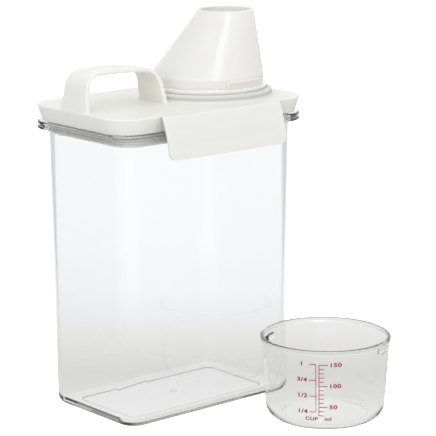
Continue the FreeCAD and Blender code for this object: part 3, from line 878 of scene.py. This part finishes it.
def floor_white_material():
    material = bpy.data.materials.new("floor_white")
    material.use_nodes = True
    shader = material.node_tree.nodes["Principled BSDF"]
    shader.inputs["Base Color"].default_value = (0.9, 0.9, 0.9, 1)
    shader.inputs["Roughness"].default_value = 0.8
    shader.inputs["Emission Color"].default_value = (1, 1, 1, 1)
    shader.inputs["Emission Strength"].default_value = 0.6
    return material


# Horizontal directions on the table: away from the viewer, and to the viewer's right.
BACKWARDS = (0.649, 0.760, 0.0)
SIDEWAYS = (0.760, -0.650, 0.0)
# Painted light and shade by distance backwards from the origin: a painted contact shadow, darkest just
# behind the object's middle, then lighter towards the back, with TABLE_START added so that none is
# negative.
TABLE_STRENGTH = 1.1
TABLE_START = 0.20
TABLE_EDGE = (0.18, 0.35)
TABLE_EDGE_PAINTED_SHADE = 0.62
TABLE_PAINTED_TONES = (
    (-0.10, (0.740, 0.735, 0.720)),
    (-0.03, (0.690, 0.685, 0.668)),
    (0.045, (0.619, 0.611, 0.591)),
    (0.10, (0.695, 0.687, 0.666)),
    (0.14, (0.755, 0.747, 0.732)),
    (0.18, (0.805, 0.804, 0.804)),
    (0.26, (0.888, 0.886, 0.894)),
    (0.40, (0.940, 0.940, 0.950)),
    (0.60, (0.950, 0.952, 0.960)),
)


def table_material():
    """The table top, which glows instead of being lit: painted shadow round the object, painted light
    lighter towards the back and painted shade darker at the sides.
    """
    material = bpy.data.materials.new("table_painted_light")
    material.use_nodes = True
    tree = material.node_tree
    shader = tree.nodes["Principled BSDF"]
    shader.inputs["Roughness"].default_value = 0.7
    # A near black base: the table's tones come from its own glow, painted shade and light, not from light
    # falling on it.
    shader.inputs["Base Color"].default_value = (0.02, 0.02, 0.02, 1)
    shader.inputs["Specular IOR Level"].default_value = 0.0
    place = tree.nodes.new("ShaderNodeTexCoord")
    depth = tree.nodes.new("ShaderNodeVectorMath")
    depth.operation = "DOT_PRODUCT"
    depth.inputs[1].default_value = BACKWARDS
    tree.links.new(place.outputs["Object"], depth.inputs[0])
    from_start = tree.nodes.new("ShaderNodeMath")
    from_start.operation = "ADD"
    from_start.inputs[1].default_value = TABLE_START
    tree.links.new(depth.outputs["Value"], from_start.inputs[0])
    ramp = tree.nodes.new("ShaderNodeValToRGB")
    stops = ramp.color_ramp.elements
    stops[0].position = TABLE_PAINTED_TONES[0][0] + TABLE_START
    stops[1].position = TABLE_PAINTED_TONES[-1][0] + TABLE_START
    for distance, tone in TABLE_PAINTED_TONES[1:-1]:
        stops.new(distance + TABLE_START)
    for stop, (distance, tone) in zip(stops, TABLE_PAINTED_TONES):
        stop.color = (*tone, 1)
    tree.links.new(from_start.outputs["Value"], ramp.inputs["Fac"])
    tree.links.new(ramp.outputs["Color"], shader.inputs["Emission Color"])
    across = tree.nodes.new("ShaderNodeVectorMath")
    across.operation = "DOT_PRODUCT"
    across.inputs[1].default_value = SIDEWAYS
    tree.links.new(place.outputs["Object"], across.inputs[0])
    either_side = tree.nodes.new("ShaderNodeMath")
    either_side.operation = "ABSOLUTE"
    tree.links.new(across.outputs["Value"], either_side.inputs[0])
    # Painted shade: the glow dims towards the sides.
    falloff = tree.nodes.new("ShaderNodeMapRange")
    falloff.inputs["From Min"].default_value = TABLE_EDGE[0]
    falloff.inputs["From Max"].default_value = TABLE_EDGE[1]
    falloff.inputs["To Min"].default_value = TABLE_STRENGTH
    falloff.inputs["To Max"].default_value = TABLE_STRENGTH * TABLE_EDGE_PAINTED_SHADE
    tree.links.new(either_side.outputs["Value"], falloff.inputs["Value"])
    tree.links.new(falloff.outputs["Result"], shader.inputs["Emission Strength"])
    return material


# The camera sees a plain white floor; reflected and refracted light sees the table just under it, which
# glows with painted shade and light.
floor = plain_plane("floor", 0.0)
paint(floor, floor_white_material())
floor.visible_transmission = False
floor.visible_glossy = False
floor.visible_diffuse = False
floor.visible_shadow = False
table = plain_plane("table", -TABLE_DROP)
paint(table, table_material())
table.visible_camera = False


# The side cards by how far a direction points left or right, from 0 to 1.
CARD_START = 0.40
CARD_FULL = 0.72
CARD_TONE = (0.72, 0.72, 0.725, 1)
LEVEL_STRENGTH = 1.08
OVERHEAD_STRENGTH = 0.90


def make_world():
    """A plain soft white room, darker far to the viewer's left and right and a little overhead."""
    world = bpy.data.worlds.new("studio")
    bpy.context.scene.world = world
    world.use_nodes = True
    tree = world.node_tree
    background = tree.nodes["Background"]
    place = tree.nodes.new("ShaderNodeTexCoord")
    side = tree.nodes.new("ShaderNodeVectorMath")
    side.operation = "DOT_PRODUCT"
    side.inputs[1].default_value = SIDEWAYS
    tree.links.new(place.outputs["Generated"], side.inputs[0])
    both = tree.nodes.new("ShaderNodeMath")
    both.operation = "ABSOLUTE"
    tree.links.new(side.outputs["Value"], both.inputs[0])
    ramp = tree.nodes.new("ShaderNodeValToRGB")
    ramp.color_ramp.interpolation = "EASE"
    ramp.color_ramp.elements[0].position = CARD_START
    ramp.color_ramp.elements[0].color = (1.0, 1.0, 1.0, 1)
    ramp.color_ramp.elements[1].position = CARD_FULL
    ramp.color_ramp.elements[1].color = CARD_TONE
    tree.links.new(both.outputs["Value"], ramp.inputs["Fac"])
    tree.links.new(ramp.outputs["Color"], background.inputs["Color"])
    parts = tree.nodes.new("ShaderNodeSeparateXYZ")
    tree.links.new(place.outputs["Generated"], parts.inputs[0])
    overhead = tree.nodes.new("ShaderNodeMapRange")
    overhead.inputs["From Min"].default_value = 0.0
    overhead.inputs["From Max"].default_value = 1.0
    overhead.inputs["To Min"].default_value = LEVEL_STRENGTH
    overhead.inputs["To Max"].default_value = OVERHEAD_STRENGTH
    tree.links.new(parts.outputs["Z"], overhead.inputs["Value"])
    tree.links.new(overhead.outputs["Result"], background.inputs["Strength"])


make_world()

# The two clear pieces cast no shadow, so light reaches what stands behind them.
tub.visible_shadow = False
cup.visible_shadow = False


def softbox(name, place, target, size, power):
    """A rectangular area light that faces its target; size is in metres and power in watts."""
    light = bpy.data.lights.new(name, "AREA")
    light.shape = "RECTANGLE"
    light.size, light.size_y = size
    light.energy = power
    obj = bpy.data.objects.new(name, light)
    obj.location = place
    obj.rotation_euler = (Vector(target) - Vector(place)).to_track_quat("-Z", "Y").to_euler()
    bpy.context.scene.collection.objects.link(obj)
    return obj


softbox("key_softbox", place=(-0.55, -1.05, 1.05), target=(0.02, 0, 0.18), size=(0.45, 0.7), power=2.6)
softbox("top_softbox", place=(0.1, 0.1, 1.5), target=(0, 0, 0.1), size=(1.0, 1.0), power=0.4)
softbox("spout_softbox", place=(-0.14, -0.62, 1.34), target=(0.03, 0, 0.21), size=(0.35, 0.35), power=0.65)
# Two fills that only lighten matt faces and show in no reflection.
for fill in (
    softbox("left_fill", place=(-1.30, -0.15, 0.40), target=(0, 0, 0.18), size=(0.6, 0.6), power=1.4),
    softbox("front_fill", place=(0.30, -1.30, 0.30), target=(0, 0, 0.17), size=(0.6, 0.6), power=1.2),
):
    fill.visible_glossy = False
    fill.visible_transmission = False

# ---------------------------------------------------------------- camera
CAMERA_PLACE = (-0.75314, -0.92579, 0.37578)
CAMERA_YAW = 40.4953
CAMERA_PITCH = 12.5163
CAMERA_ROLL = -0.1945
CAMERA_LENS = 167.405
CAMERA_SENSOR = 36.0
camera_data = bpy.data.cameras.new("camera")
camera_data.sensor_width = CAMERA_SENSOR
camera_data.lens = CAMERA_LENS
camera_data.clip_start = 0.01
camera = bpy.data.objects.new("camera", camera_data)
camera.matrix_world = (
    Matrix.Translation(CAMERA_PLACE)
    @ Matrix.Rotation(math.radians(-CAMERA_YAW), 4, "Z")
    @ Matrix.Rotation(math.radians(90 - CAMERA_PITCH), 4, "X")
    @ Matrix.Rotation(math.radians(CAMERA_ROLL), 4, "Z")
)
bpy.context.scene.collection.objects.link(camera)
bpy.context.scene.camera = camera
bpy.context.scene.view_settings.view_transform = "Standard"
# Light that is totally reflected inside thick clear edges needs many bounces to come out again.
light_paths = bpy.context.scene.cycles
light_paths.max_bounces = 28
light_paths.glossy_bounces = 20
light_paths.transmission_bounces = 24
